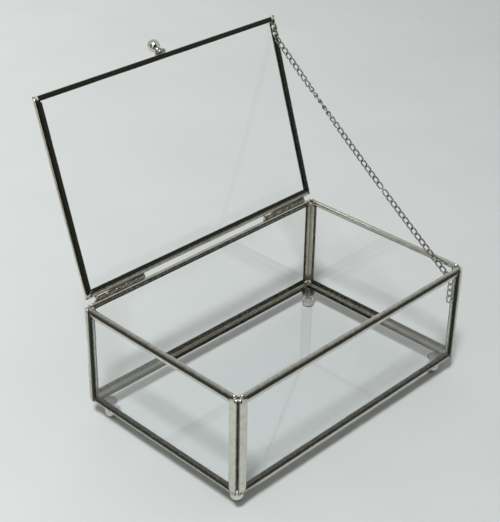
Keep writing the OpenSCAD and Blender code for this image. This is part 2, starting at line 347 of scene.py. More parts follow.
def metal(name, clean, dark, amount, polish, patch, dents, patina_and_shade=None):
    """A white metal whose colour, gloss and surface all carry the tarnish, and where given the patina
    and painted shade.
    """
    mat, tree, shader = new_material(name)
    tarnish = use_group(tree, TARNISH, {"Clean colour": (*clean, 1), "Tarnished colour": (*dark, 1),
                                        "Amount": amount, "Polish": polish, "Patch size": patch})
    look = tarnish
    if patina_and_shade:
        look = use_group(tree, PATINA_AND_SHADE, {"Colour": tarnish["Colour"], "Patina and shade colour": (*patina_and_shade, 1),
                                        "Roughness": tarnish["Roughness"]})
    shader.inputs["Metallic"].default_value = 1.0
    feed(tree, shader, {"Base Color": look["Colour"], "Roughness": look["Roughness"],
                        "Normal": add_dents(tree, tarnish["Height"], dents, DENT_DEPTH)})
    return mat


# the beads' patina colour also paints shade and the dark room's reflection in bands
BEAD = metal("Dulled silver bead", clean=(0.70, 0.68, 0.61), dark=(0.40, 0.38, 0.31),
             amount=0.35, polish=0.07, patch=260, dents=0.2, patina_and_shade=(0.036, 0.035, 0.026))
SOLDER = metal("Bright solder", clean=(0.80, 0.78, 0.71), dark=(0.46, 0.44, 0.37),
               amount=0.3, polish=0.34, patch=420, dents=0.1)
# near black: blackened solder, and painted shade in the corner crease
GRIME_AND_SHADE = metal("Blackened seam and painted shade", clean=(0.10, 0.10, 0.08), dark=(0.05, 0.05, 0.04),
              amount=0.6, polish=0.4, patch=420, dents=0.4)
WIRE = metal("Chain wire", clean=(0.31, 0.30, 0.27), dark=(0.09, 0.09, 0.07),
             amount=0.5, polish=0.02, patch=700, dents=0.15)
# its dark blue-grey patina colour darkens the turned parts' bases, painted shade on the feet
TURNED = metal("Turned white metal", clean=(0.70, 0.69, 0.63), dark=(0.26, 0.25, 0.20),
               amount=0.35, polish=0.03, patch=500, dents=0.1, patina_and_shade=(0.07, 0.075, 0.085))
HINGE_METAL = metal("Hinge metal", clean=(0.34, 0.31, 0.25), dark=(0.06, 0.055, 0.045),
                    amount=0.8, polish=0.12, patch=320, dents=0.15)
print("metals:", [m.name for m in (BEAD, SOLDER, GRIME_AND_SHADE, WIRE, TURNED, HINGE_METAL)])

# %% [markdown]
# Clear glass is almost nothing to look at: a faint cool tint, a hint of unevenness and the
# odd fingerprint. Light must also get through it, or each pane would throw a black shadow.
# So shadow rays meet a clear tinted surface, and all other rays meet real glass.

# %% Clear glass
SMEAR_SIZE = 35
SWAY_SIZE = 14
SWAY_STRENGTH = 0.05
SMEAR_DULLS = 0.05


def glass_material():
    """Glass with faint smears and slow waves, which lets the lamp's light through."""
    mat, tree, shader = new_material("Clear glass")
    shader.inputs["Transmission Weight"].default_value = 1.0
    shader.inputs["IOR"].default_value = 1.5
    where = add_node(tree, "TexCoord").outputs["Object"]
    smears = add_noise(tree, where, {"Scale": SMEAR_SIZE, "Detail": 6})
    dulled = add_node(tree, "MapRange", {"Value": smears, "From Min": 0.55, "From Max": 0.8,
                                         "To Min": 0.0, "To Max": SMEAR_DULLS})
    sway = add_noise(tree, where, {"Scale": SWAY_SIZE})
    feed(tree, shader, {"Base Color": (0.99, 0.996, 0.993, 1), "Roughness": dulled.outputs["Result"],
                        "Normal": add_dents(tree, sway, SWAY_STRENGTH, MM)})
    clear = add_node(tree, "BsdfTransparent", {"Color": (0.995, 1.0, 0.998, 1)})
    shadow_ray = add_node(tree, "LightPath").outputs["Is Shadow Ray"]
    mix = add_node(tree, "MixShader", {0: shadow_ray, 1: shader.outputs[0], 2: clear.outputs[0]})
    feed(tree, tree.nodes["Material Output"], {"Surface": mix.outputs[0]})
    return mat


GLASS = glass_material()
print("made", GLASS.name)

# %% [markdown]
# Every piece gets two things: its material and the body that it rides on when the lid
# moves. The six panes keep the frame's own meshes, because a real pane is a plain sheet too.

# %% Finish a piece, the panes first
def finish(obj, material, body=None):
    """Gives a piece its material and the body it rides on."""
    obj.data.materials.clear()
    obj.data.materials.append(material)
    if body:
        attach(obj, body)
    return obj


for name in NODES:
    if name.startswith("glass"):
        finish(NODES[name], GLASS)
print("glass panes:", sum(n.startswith("glass") for n in NODES))

# %% [markdown]
# The bead round a pane is a folded strip of metal, flooded with solder until its faces swell.
# Solder runs down before it sets, so a level bead is thickest low down and leans in towards
# its top, and the lowest beads have sunk a little over the bottom pane's edge. That lean is
# what mirrors the dark room and draws the dark line along each rail. An upright bead swells
# evenly, and it grows a little towards the corner, where two panes meet and more solder is
# laid. All come from one rule, a superellipse whose widest place, the belly, can be moved: a
# power of 2 gives a round shoulder and a larger one a square shoulder.

# %% The bead's cross-section
SECTION_POINTS = 36
# the place of the belly, the power of the outer side, and the power of the side at the glass
BEAD_SHAPES = {
    "low": (0.36, 3.0, 2.3),
    "high": (0.62, 2.3, 3.0),
    "upright": (0.5, 3.2, 2.8),
    "plain": (0.5, 2.6, 2.8),
}
LOW_BEAD_DROP = 1.1 * MM
UPRIGHT_PLUMP = 1.03
UPRIGHT_GROWTH = 0.9 * MM
LID_FRONT_SLIM = 0.85
LID_FRONT_INSET = 0.5 * MM


def bead_section(thick, width, shape, grown=0.0, shift=0.0):
    """Loop of (across, inward) points, where inward is 0 at the pane's outer edge."""
    belly, low_power, high_power = BEAD_SHAPES[shape]
    # the round shoulder sinks into the glass exactly where the plain strip would end
    level = glass_thick / thick
    meets = (1 - level ** high_power) ** (1 / high_power)
    full = width / (belly + (1 - belly) * meets)
    loop = []
    for k in range(SECTION_POINTS):
        a = 2 * math.pi * k / SECTION_POINTS
        c, s = math.cos(a), math.sin(a)
        power = 2 / (high_power if s > 0 else low_power)
        reach = full * (1 - belly) if s > 0 else full * belly + grown
        across = 0.5 * thick * math.copysign(abs(c) ** power, c)
        inward = full * belly + reach * math.copysign(abs(s) ** power, s)
        loop.append((across, inward + shift))
    return loop


def section_for(thick, width, kind):
    """The section of a bead, by its kind."""
    if kind == "low":
        return bead_section(thick, width, "low", shift=-LOW_BEAD_DROP)
    if "high" in kind:
        return bead_section(thick, width, "high")
    if "upright" in kind:
        return bead_section(UPRIGHT_PLUMP * thick, width, "upright", grown=UPRIGHT_GROWTH)
    if kind == "lid front":
        return bead_section(LID_FRONT_SLIM * thick, width, "plain", shift=LID_FRONT_INSET)
    return bead_section(thick, width, "plain")


def blend(value, stops):
    """Straight lines between (place, amount) stops."""
    for (x0, y0), (x1, y1) in zip(stops, stops[1:]):
        if value <= x1:
            return y0 + (y1 - y0) * max(0, value - x0) / (x1 - x0)
    return stops[-1][1]


print("bead shapes:", ", ".join(BEAD_SHAPES))

# %% [markdown]
# Where the dark lies depends on the place of the bead, and it is partly patina and partly
# painted light. On a level bead the low outer side is left bright, and the dark shoulder above
# it is a painted reflection of the dark room. The inner faces are painted darker as shade, with
# a clean line in the middle, and the lid's beads are painted nearly black where they mirror
# the dark room. The stops below say that as a plotter would: how far in from the pane's edge,
# as a share of the bead's width, and how dark.

# %% Patina and painted shade across a bead
PATINA_AND_SHADE_STOPS = {
    # bright lip, then dark up to the glass: partly patina, partly a painted reflection
    ("low", "outer"): [(-0.24, 0.3), (-0.12, 0.0), (0.02, 0.0), (0.14, 0.85), (0.3, 1.0),
                       (0.46, 1.0), (0.7, 0.75), (1.0, 0.5)],
    ("low", "inner"): [(-0.24, 0.7), (0.0, 0.8), (0.1, 0.1), (0.24, 0.15), (0.36, 0.85), (1.0, 0.95)],
    # light crown, a dark shoulder that is partly patina and partly a painted reflection, and a clean
    # lower half
    ("high", "outer"): [(0.0, 0.15), (0.06, 0.35), (0.13, 0.6), (0.23, 0.9), (0.34, 1.1),
                        (0.5, 1.0), (0.58, 0.1), (1.0, 0.0)],
    ("high", "inner"): [(0.0, 0.0), (0.15, 0.1), (0.3, 0.45), (0.5, 0.2), (0.8, 0.3), (0.9, 0.8),
                        (1.0, 0.9)],
    # the back rim is dark below the crown: partly patina, partly a painted reflection
    ("far high", "outer"): [(0.0, 0.1), (0.3, 0.4), (0.6, 0.9), (1.0, 0.6)],
    ("far high", "inner"): [(0.0, 0.0), (0.1, 0.1), (0.2, 0.75), (0.36, 1.0), (0.5, 0.6),
                            (0.62, 0.9), (1.0, 1.0)],
    # painted shade: a black crease in the corner, and a clean face
    ("upright", "outer"): [(-0.2, 1.0), (-0.13, 0.7), (-0.06, 0.0), (0.85, 0.0), (1.0, 0.3)],
    ("upright", "inner"): [(0.0, 0.6), (0.15, 0.4), (0.25, 0.0), (0.72, 0.05), (0.82, 0.85), (1.0, 0.9)],
    # the far posts are dark beside the glass: partly patina, partly painted shade
    ("far upright", "outer"): [(0.0, 0.3), (0.25, 0.1), (0.42, 0.8), (0.6, 1.05), (1.0, 1.05)],
    # dark, partly patina and partly a painted reflection, with one clean line along the middle
    ("flat", "outer"): [(0.0, 0.4), (1.0, 0.6)],
    ("flat", "inner"): [(0.0, 0.35), (0.22, 0.8), (0.34, 0.0), (0.58, 0.0), (0.68, 0.85), (1.0, 1.0)],
    # the lid: a thin bright edge and the rest nearly black, partly patina and partly a painted
    # reflection of the dark room
    ("lid", "outer"): [(0.0, 0.1), (0.5, 0.2), (1.0, 0.6)],
    ("lid", "inner"): [(0.0, 0.0), (0.1, 0.0), (0.22, 0.9), (0.4, 1.05), (1.0, 1.05)],
    ("lid back", "inner"): [(0.0, 0.2), (0.3, 0.35), (0.5, 0.6), (0.62, 1.0), (1.0, 1.05)],
    ("lid front", "outer"): [(0.0, 1.1), (1.0, 1.1)],
    ("lid front", "inner"): [(0.0, 1.1), (1.0, 1.1)],
    ("lid right", "outer"): [(0.0, 0.9), (1.0, 1.0)],
    ("lid right", "inner"): [(0.0, 0.9), (1.0, 1.0)],
}
# these share the faces of a plainer kind
PATINA_AND_SHADE_STOPS["far upright", "inner"] = PATINA_AND_SHADE_STOPS["upright", "inner"]
PATINA_AND_SHADE_STOPS["lid back", "outer"] = PATINA_AND_SHADE_STOPS["lid", "outer"]


def patina_and_shade_row(kind, loop, width, inner_sign):
    """How dark each point of the section is."""
    row = []
    for across, inward in loop:
        face = "inner" if across * inner_sign > 0 else "outer"
        row.append(blend(inward / width, PATINA_AND_SHADE_STOPS[kind, face]))
    return row


def write_patina_and_shade(obj, row):
    """Keeps each point's patina and painted shade as the second coordinate of the UV map."""
    layer = obj.data.uv_layers.new(name="UVMap")
    count = len(row)
    for corner in obj.data.loops:
        ring, k = divmod(corner.vertex_index, count)
        layer.data[corner.index].uv = (ring * 0.1, row[k])


print("patina is set for", len({kind for kind, face in PATINA_AND_SHADE_STOPS}), "kinds of bead")

# %% [markdown]
# The section is run along each edge of the pane. A level bead is mitred at 45 degrees. An
# upright one runs nearly straight up under the rim and down over the low bead, as the solder
# did. Hand work is never dead straight, so a slow noise swells and thins every bead by a few
# hundredths of a millimetre.

# %% One run of bead
FOOT_MITRE = 0.12
HEAD_CUT = 1.9 * MM
RING_SPACING = 3 * MM
SWELL = 0.03
SWELL_GRAIN = 90


def bead_cuts(inward, kind, goes_up):
    """How far a bead's start and end are cut back, at one distance from the pane's edge."""
    if "upright" not in kind:
        return max(0, inward), max(0, inward)
    foot = FOOT_MITRE * inward - LOW_BEAD_DROP
    head = FOOT_MITRE * inward + HEAD_CUT
    return (foot, head) if goes_up else (head, foot)


def bead_run(name, start, end, inward, across, thick, width, kind, inner_sign):
    """A bead from one corner of a pane to the next, along its outer edge."""
    along = (end - start).normalized()
    length = (end - start).length
    steps = max(6, round(length / RING_SPACING))
    loop = section_for(thick, width, kind)
    mid = 0.5 * width
    rings = []
    for i in range(steps + 1):
        ring = []
        for c, b in loop:
            cut_start, cut_end = bead_cuts(b, kind, along.z > 0.5)
            at = cut_start + (length - cut_start - cut_end) * i / steps
            centre = start + along * at
            swell = 1 + SWELL * noise.noise(centre * SWELL_GRAIN + across * 7)
            ring.append(centre + across * c * swell + inward * (mid + (b - mid) * swell))
        rings.append(ring)
    run = make_mesh(name, *skin(rings))
    write_patina_and_shade(run, patina_and_shade_row(kind, loop, width, inner_sign))
    return run


# %% [markdown]
# A pane has four beads. The frame knows each by name, so the pane's box gives the corners, and
# every new bead stands for the plain strip that it covers. Solder makes some of them plumper
# than the strip inside. The shares below were measured on the photo: the front and left rims
# are broad, the far posts are narrow, and the lid's front edge is slim.

# %% Bead all six panes
WALL_EDGES = {"bottom": "bottom", "top": "top"}
FRONT_EDGES = {**WALL_EDGES, "left": "left", "right": "right"}
SIDE_EDGES = {**WALL_EDGES, "left": "front", "right": "back"}
FLAT_EDGES = {"bottom": "front", "top": "back", "left": "left", "right": "right"}
# each pane's body, and what the frame calls the four edges of the pane
PANES = {
    "front": ("box", FRONT_EDGES),
    "back": ("box", FRONT_EDGES),
    "left": ("box", SIDE_EDGES),
    "right": ("box", SIDE_EDGES),
    "base": ("box", FLAT_EDGES),
    "lid": ("lid", FLAT_EDGES),
}
AXES = [Vector((1, 0, 0)), Vector((0, 1, 0)), Vector((0, 0, 1))]
# which way along its thin axis each pane's inner face looks
INNER_SIGN = {"front": 1, "back": -1, "left": 1, "right": -1, "base": 1, "lid": -1}
# how thick a pane's beads are next to the plain strip
PLUMP = {"front": 1.3, "left": 1.3, "right": 1.15, "back": 1.0, "base": 1.0, "lid": 1.0}
# how broad the face of a single bead is next to the plain strip
BASE_FACE_SHARE = 0.8
FACE_SHARE = {
    "front_top": 1.3, "left_top": 1.3, "right_top": 0.75, "back_top": 0.85,
    "front_left": 1.15, "left_front": 1.08, "front_right": 0.8, "left_back": 0.8,
    "lid_front": 0.58,
}
# beads whose patina and painted shade aren't those of the others in their row
SPECIAL_KINDS = {
    "front_right": "far upright", "left_back": "far upright", "back_top": "far high",
    "lid_front": "lid front", "lid_right": "lid right", "lid_back": "lid back",
}
pane_corners = {}


def bead_kind(pane, edge, name):
    """The kind of a bead, which decides its section and its patina."""
    by_edge = {"bottom": "low", "top": "high"}.get(edge, "upright")
    return SPECIAL_KINDS.get(name, {"base": "flat", "lid": "lid"}.get(pane, by_edge))


def bead_pane(pane):
    """Four beads round one pane, and the pane's corners for the solder that follows."""
    body, edges = PANES[pane]
    turn = shut if body == "lid" else None
    low, high = flat_box([f"channel_{pane}_{e}" for e in edges.values()], turn)
    size = high - low
    thin = min(range(3), key=lambda i: size[i])
    p, q = [i for i in range(3) if i != thin]
    across = AXES[thin]

    def corner(fp, fq):
        point = 0.5 * (low + high)
        point[p] = (low, high)[fp][p]
        point[q] = (low, high)[fq][q]
        return point

    strip = flat_box([f"channel_{pane}_{edges['bottom']}"], turn)
    width = strip[1][q] - strip[0][q]
    runs = {
        "bottom": (corner(0, 0), corner(1, 0), AXES[q]),
        "top": (corner(1, 1), corner(0, 1), -AXES[q]),
        "left": (corner(0, 1), corner(0, 0), AXES[p]),
        "right": (corner(1, 0), corner(1, 1), -AXES[p]),
    }
    for edge, (start, end, inward) in runs.items():
        name = f"{pane}_{edges[edge]}"
        kind = bead_kind(pane, edge, name)
        face = FACE_SHARE.get(name, BASE_FACE_SHARE if pane == "base" else 1.0) * width
        run = bead_run(f"bead_{name}", start, end, inward, across, PLUMP[pane] * size[thin], face,
                       kind, INNER_SIGN[pane])
        if body == "lid":
            run.data.transform(opened)
        finish(run, BEAD, body)
        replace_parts(run, f"channel_{name}")
    pane_corners[pane] = {
        (fp, fq): (corner(fp, fq), AXES[p] * (1 - 2 * fp), AXES[q] * (1 - 2 * fq), across)
        for fp in (0, 1) for fq in (0, 1)
    }
    return width


for pane in PANES:
    print("bead round", pane, "is", round(bead_pane(pane) * 1000, 2), "mm wide")

# %% [markdown]
# Where two beads meet, the solderer leaves a rounded dab that hides the mitre. A dab is a ball
# pressed flat, a little uneven. It is drawn once as a function, because every corner has one.

# %% Dabs of solder on the mitres
LUMP_GRAIN = 1.7
DAB_REACH = 2.0 * MM
DAB_SIZE = (1.9 * MM, 1.9 * MM, 0.52 * bead_thick)


def dab(size, seed, rings=12, around=18, lumps=0.08):
    """A pressed, slightly lumpy ball: points and faces about the origin."""
    offset = Vector((seed * 3.1, seed * 1.7, seed * 0.9))
    loops = []
    for i in range(1, rings):
        lat = math.pi * i / rings
        loop = []
        for k in range(around):
            lon = 2 * math.pi * k / around
            d = Vector((math.sin(lat) * math.cos(lon), math.sin(lat) * math.sin(lon), math.cos(lat)))
            r = 1 + lumps * noise.noise(d * LUMP_GRAIN + offset)
            loop.append(Vector((d.x * size[0] * r, d.y * size[1] * r, d.z * size[2] * r)))
        loops.append(loop)
    return skin(loops)


def frame_matrix(origin, x, y, z):
    """A placement whose axes are the three given directions."""
    m = Matrix((x, y, z)).transposed().to_4x4()
    m.translation = origin
    return m


def dabs_of_pane(pane):
    """The four corner dabs of one pane, as one piece."""
    parts = []
    for n, (point, in_p, in_q, across) in enumerate(pane_corners[pane].values()):
        centre = point + (in_p + in_q) * DAB_REACH
        part = dab(DAB_SIZE, seed=n + 7 * len(pane))
        parts.append(moved(part, frame_matrix(centre, in_p, in_q, across)))
    piece = make_mesh(f"dabs_{pane}", *join_parts(parts))
    body = PANES[pane][0]
    if body == "lid":
        piece.data.transform(opened)
    return finish(piece, SOLDER, body)


for pane in PANES:
    dabs_of_pane(pane)
print("dabs on", len(PANES), "panes")

# %% [markdown]
# The four walls touch only along their inner edges, so each outside corner is a narrow open
# notch. It reads as a dark crease between two light posts. A thin seam of solder runs down the
# bottom of the notch, and it swells into a drop at the rim and another at the foot. These hold
# the box together. Two of the notches were filled to the brim, and at the near corner some
# solder has run down towards the foot. The seam is painted near black, partly as blackened
# solder and partly as painted shade in the crease.

# %% Solder in the corner notches
CORNERS = {"front_left": (-1, -1), "front_right": (1, -1), "back_left": (-1, 1), "back_right": (1, 1)}
NEAR_CORNER = "front_left"
FILLED_CORNERS = ("front_right", "back_left")
# radius of each form, and its set-in from the middle of the notch towards the box
SEAM_R = 0.75 * MM
SEAM_INSET = 0.8 * MM
FILLED_R = 1.5 * MM
FILLED_INSET = 0.2 * MM
FILLED_SHORT = 2 * MM
DROP_INSET = 0.35 * MM
FOOT_DROP_R = 1.0 * MM
FOOT_DROP_TALL = 2.6 * MM
# the rim's drop lies between these two distances below the solder's top
RIM_DROP_R = 0.75 * MM
RIM_DROP_FROM = 3.4 * MM
RIM_DROP_TO = 1.2 * MM
# the run lies round the foot's top, from below the solder's lower end to above it
RUN_R = 2.9 * MM
RUN_INSET = 1.6 * MM
RUN_BELOW = 5.4 * MM
RUN_ABOVE = 1.4 * MM
# under 0.5 a drop is fuller than half an ellipse
DROP_FULLNESS = 0.42
DROP_LUMPS = 0.12
LUMPS_GRAIN = 700


def corner_drop(low_z, high_z, widest, seed):
    """A tall rounded drop of solder about the Z axis."""
    height = high_z - low_z
    outline = []
    steps = 14
    for i in range(1, steps):
        s = i / steps
        bulge = math.sin(math.pi * s) ** DROP_FULLNESS
        outline.append((widest * bulge, low_z + height * s))
    points, faces = lathe(outline, 20)
    offset = Vector((seed * 5.3, seed * 2.9, 0))
    lumpy = []
    for p in points:
        wide = 1 + DROP_LUMPS * noise.noise(p * LUMPS_GRAIN + offset)
        deep = 1 + DROP_LUMPS * noise.noise(p * LUMPS_GRAIN - offset)
        lumpy.append(Vector((p.x * wide, p.y * deep, p.z)))
    return lumpy, faces


def rod(radius, levels, around):
    """A round rod along Z with a ring at each level."""
    return lathe([(radius, z) for z in levels], around)


def notch_solder(corner, seed, low, high, placed):
    """The drops in one notch, and the fill or the run where the corner has one."""
    parts = [placed(corner_drop(low.z, low.z + FOOT_DROP_TALL, FOOT_DROP_R, seed), DROP_INSET),
             placed(corner_drop(high.z - RIM_DROP_FROM, high.z - RIM_DROP_TO, RIM_DROP_R, seed + 9),
                    DROP_INSET)]
    if corner == NEAR_CORNER:
        parts.append(placed(corner_drop(low.z - RUN_BELOW, low.z + RUN_ABOVE, RUN_R, 5), RUN_INSET))
    if corner in FILLED_CORNERS:
        levels = (low.z, 0.5 * (low.z + high.z), high.z - FILLED_SHORT)
        parts.append(placed(rod(FILLED_R, levels, 20), FILLED_INSET))
    return join_parts(parts)


def fill_notch(corner, seed):
    """Solder and blackened seam of one corner, for the frame's plain solder there; the seam's near black
    is partly painted shade.
    """
    node = "solder_" + corner
    low, high = node_box(node)
    centre = 0.5 * (low + high)
    outward = Vector((*CORNERS[corner], 0))

    def placed(part, inset):
        spot = Vector((centre.x, centre.y, 0)) - outward * inset
        return moved(part, Matrix.Translation(spot))

    piece = make_mesh("notch_" + node, *notch_solder(corner, seed, low, high, placed))
    finish(piece, SOLDER, "box")
    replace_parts(piece, node)
    levels = (low.z + MM, 0.5 * (low.z + high.z), high.z - MM)
    # the seam is painted near black: partly blackened solder, partly painted shade in the crease
    seam = make_mesh("seam_" + node, *placed(rod(SEAM_R, levels, 16), SEAM_INSET))
    finish(seam, GRIME_AND_SHADE, "box")
    return centre


for seed, corner in enumerate(CORNERS):
    spot = fill_notch(corner, seed)
    print(corner, "drops at", [round(v * 1000, 1) for v in spot.xy])

# %% [markdown]
# The feet and the knob are turned: a flared base, a waist, a collar and a ball. A turner works
# from an outline, so the script does too. The outline is built from arcs and straight steps,
# and then it is spun. A foot's ball has a small worn flat where it stands. The base of each is
# painted dark blue-grey, which the ball escapes: on the feet this is painted shade and a
# painted dark reflection under the box.

# %% Outlines for the turned parts
# an outline never quite reaches the axis, so that its rings stay open
AXIS_R = 1e-5
# heights as shares of the ball's place or of its radius
LIP_SHARE = 0.07
COLLAR_BELOW = 1.12
COLLAR_R = 0.55 * MM
# the cove narrows from its mouth to the waist, quickly at first
COVE_MOUTH = 0.82
COVE_POWER = 2.2
COVE_STEPS = 8


def arc(radius, centre_r, centre_z, from_deg, to_deg, steps):
    """Points (radius, height) along part of a circle."""
    out = []
    for i in range(steps + 1):
        a = math.radians(from_deg + (to_deg - from_deg) * i / steps)
        out.append((max(centre_r + radius * math.cos(a), AXIS_R), centre_z + radius * math.sin(a)))
    return out


def spindle_outline(base_r, ball_r, ball_z, waist_share=0.42):
    """Base on z = 0, then cove, waist, collar and ball."""
    lip = LIP_SHARE * ball_z
    waist = waist_share * ball_r
    collar_z = ball_z - COLLAR_BELOW * ball_r
    cove_z = collar_z - COLLAR_R
    outline = [(AXIS_R, 0.0), (0.96 * base_r, 0.0)]
    outline += arc(lip, base_r - lip, lip, -60, 70, 6)
    cove_start = outline[-1]
    for i in range(1, COVE_STEPS + 1):
        s = i / COVE_STEPS
        r = waist + (COVE_MOUTH * cove_start[0] - waist) * (1 - s) ** COVE_POWER
        outline.append((r, cove_start[1] + (cove_z - cove_start[1]) * s))
    outline += arc(COLLAR_R, waist + 0.1 * MM, collar_z, -80, 80, 8)
    neck = math.degrees(math.asin(min(0.9, waist / ball_r)))
    outline += arc(ball_r, 0, ball_z, -90 + neck, 88, 22)
    return outline


def turned_piece(name, node, outline, placement, body, stain_and_shade, around=48):
    """Spins an outline, paints the part near its base darker and lets it stand for its plain solid."""
    piece = make_mesh(name, *moved(lathe(outline, around), placement))
    layer = piece.data.uv_layers.new(name="UVMap")
    for corner in piece.data.loops:
        ring, k = divmod(corner.vertex_index, around)
        height = outline[ring][1]
        layer.data[corner.index].uv = (k / around, blend(height, stain_and_shade))
    finish(piece, TURNED, body)
    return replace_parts(piece, node)


print("a foot's outline fits in", round(foot_height * 1000, 1), "mm")

# %% [markdown]
# A foot is made upright, with its base on zero, and then turned upside down, because it is
# soldered by its base to the underside of the box. The four are alike.

# %% The four feet
foot_ball_r = 4.2 * MM
foot_base_r = 0.5 * (node_box("foot_front_left")[1].x - node_box("foot_front_left")[0].x)
flat_depth = 0.2 * MM
foot_outline = spindle_outline(foot_base_r, foot_ball_r, foot_height - foot_ball_r + flat_depth)
foot_outline = [(r, min(z, foot_height)) for r, z in foot_outline]
# painted shade and a painted dark reflection at each height, darkest at the base under the box
foot_painted_shade = [(0.0, 0.85), (2.2 * MM, 0.75), (3.0 * MM, 0.05), (foot_height, 0.0)]
for end in ("front", "back"):
    for side in ("left", "right"):
        node = f"foot_{end}_{side}"
        low, high = node_box(node)
        upside_down = Matrix.Diagonal((1, -1, -1, 1))
        at = Matrix.Translation((0.5 * (low.x + high.x), 0.5 * (low.y + high.y), foot_height))
        turned_piece("turned_" + node, node, foot_outline, at @ upside_down, "box", foot_painted_shade)
print("feet are", round(foot_height * 1000, 1), "mm tall")

# %% [markdown]
# The knob is the same turning, soldered askew on the lid's front edge. Its axis runs from its
# seat on the edge to the middle of its ball. The ball is a hair bigger than the plain solid's,
# so that it shows round in the light.

# %% The knob on the lid's front edge
knob_ball_r = 3.8 * MM
knob_base_r = 3.9 * MM
knob_swell = 0.2 * MM
knob_sink = 0.35 * MM
knob_set_back = 0.3 * MM
knob_set_up = 0.2 * MM
knob_low, knob_high = flat_box(["knob"], shut)
lid_low, lid_high = flat_box([f"channel_lid_{e}" for e in ("front", "back", "left", "right")], shut)
ball_centre = Vector((0.0, knob_low.y + knob_ball_r, knob_high.z - knob_ball_r))
# with the lid shut, the seat is a hair behind its front edge and a hair above its top
seat = Vector((0.0, lid_low.y + knob_set_back, lid_high.z + knob_set_up))
knob_axis = (ball_centre - seat).normalized()
knob_turn = knob_axis.to_track_quat("Z", "Y").to_matrix().to_4x4()
knob_reach = (ball_centre - seat).length + knob_sink
knob_place = opened @ Matrix.Translation(seat - knob_axis * knob_sink) @ knob_turn
knob_stain = [(0.0, 0.5), (2.0 * MM, 0.4), (3.0 * MM, 0.0), (knob_reach, 0.0)]
knob_outline = spindle_outline(knob_base_r, knob_ball_r + knob_swell, knob_reach, waist_share=0.5)
turned_piece("turned_knob", "knob", knob_outline, knob_place, "lid", knob_stain)
print("knob leans", round(math.degrees(math.atan2(knob_axis.z, -knob_axis.y)), 1), "degrees off the lid")

# %% [markdown]
# The chain is a curb chain: each link is a long ring given a quarter turn, so that the links
# lie flat on each other. A ring is a path first. It runs along one side, round the end and
# back, and a twist is added that grows along the link. Then a wire is swept along it. The whole
# chain is also turned slowly about its own length, as a hanging chain is.

# %% One link of the chain
wire_r = 0.45 * MM
link_r = 1.35 * MM
link_play = 0.07 * MM
chain_nodes = [f"chain_{n}" for n in range(1, 12)]
chain_joints = [next(j for j in frame["joints"] if j["child"] == c) for c in chain_nodes]
# runs that hang from the box have their pivot at their lower end, the others at their upper end
box_runs = next(n for n, j in enumerate(chain_joints) if j["parent"] == chain_nodes[n + 1])
LINKS_PER_RUN = 4


def link_path(length, steps=44):
    """Closed path (across, along) of a flat link, from its first bend at 0 to its second."""
    straight = length - 2 * link_r
    half_turn = math.pi * link_r
    total = 2 * straight + 2 * half_turn
    path = []
    for i in range(steps):
        s = total * i / steps
        if s < straight:
            path.append((link_r, link_r + s))
        elif s < straight + half_turn:
            a = (s - straight) / link_r
            path.append((link_r * math.cos(a), link_r + straight + link_r * math.sin(a)))
        elif s < 2 * straight + half_turn:
            path.append((-link_r, link_r + straight - (s - straight - half_turn)))
        else:
            a = (s - 2 * straight - half_turn) / link_r
            path.append((-link_r * math.cos(a), link_r - link_r * math.sin(a)))
    return path


def curb_link(length, roll, quarter=-math.pi / 2, sides=10):
    """Points and faces of one twisted link, rolled about its length."""
    centres = []
    for x, z in link_path(length):
        turn = roll + quarter * min(1, max(0, z / length))
        centres.append(Vector((x * math.cos(turn), x * math.sin(turn), z)))
    rings = []
    count = len(centres)
    for i, c in enumerate(centres):
        ahead = (centres[(i + 1) % count] - centres[i - 1]).normalized()
        out = Vector((c.x, c.y, c.z - 0.5 * length)).normalized()
        side = ahead.cross(out).normalized()
        up = side.cross(ahead)
        turns = [2 * math.pi * k / sides for k in range(sides)]
        rings.append([c + wire_r * (math.cos(t) * up + math.sin(t) * side) for t in turns])
    return skin(rings, closed_along=True)


def link_run(name, start, direction, count, pitch, length, rolls, node, body):
    """Several links in a row, standing for one node of the frame."""
    slope = math.atan2(direction.z, direction.y)
    turn = Matrix.Rotation(slope - math.pi / 2, 4, "X")
    parts = []
    for k in range(count):
        place = Matrix.Translation(start + direction * pitch * k) @ turn
        parts.append(moved(curb_link(length, rolls[k]), place))
    piece = make_mesh(name, *join_parts(parts))
    finish(piece, WIRE, body)
    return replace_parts(piece, node)


print("one link has", len(link_path(4 * link_r)), "rings of wire")

# %% [markdown]
# The free chain hangs in eleven runs of four links, and each run rides on its own body of the
# frame. Four runs hang from the box and seven from the lid. A few more links are soldered fast
# at each end: they are drawn the same way and ride on the box or on the lid.

# %% The free chain and its two soldered ends
pivots = [Vector(j["pos_m"]) for j in chain_joints]
end_low, end_high = flat_box(["chain_lid_end"], shut)
pitch = (pivots[1] - pivots[0]).length / LINKS_PER_RUN
link_length = pitch + 2 * wire_r + link_play
# the chain turns over between these shares of its length
TURN_FROM = 0.5
TURN_OVER = 0.42


def slope_of(n):
    """Slope of run n, where the two that meet in the middle go on as their neighbours do."""
    if n == box_runs - 1:
        return 2 * slope_of(n - 1) - slope_of(n - 2)
    if n == box_runs:
        return 2 * slope_of(n + 1) - slope_of(n + 2)
    step = pivots[n + 1] - pivots[n] if n < box_runs else pivots[n] - pivots[n - 1]
    return math.atan2(step.z, step.y)


def chain_roll(index):
    """Slow turn of the chain about its length: flat at both ends, on edge in between."""
    s = index / (LINKS_PER_RUN * len(chain_nodes))
    ease = min(1, max(0, (s - TURN_FROM) / TURN_OVER))
    return math.pi * ease * ease * (3 - 2 * ease)


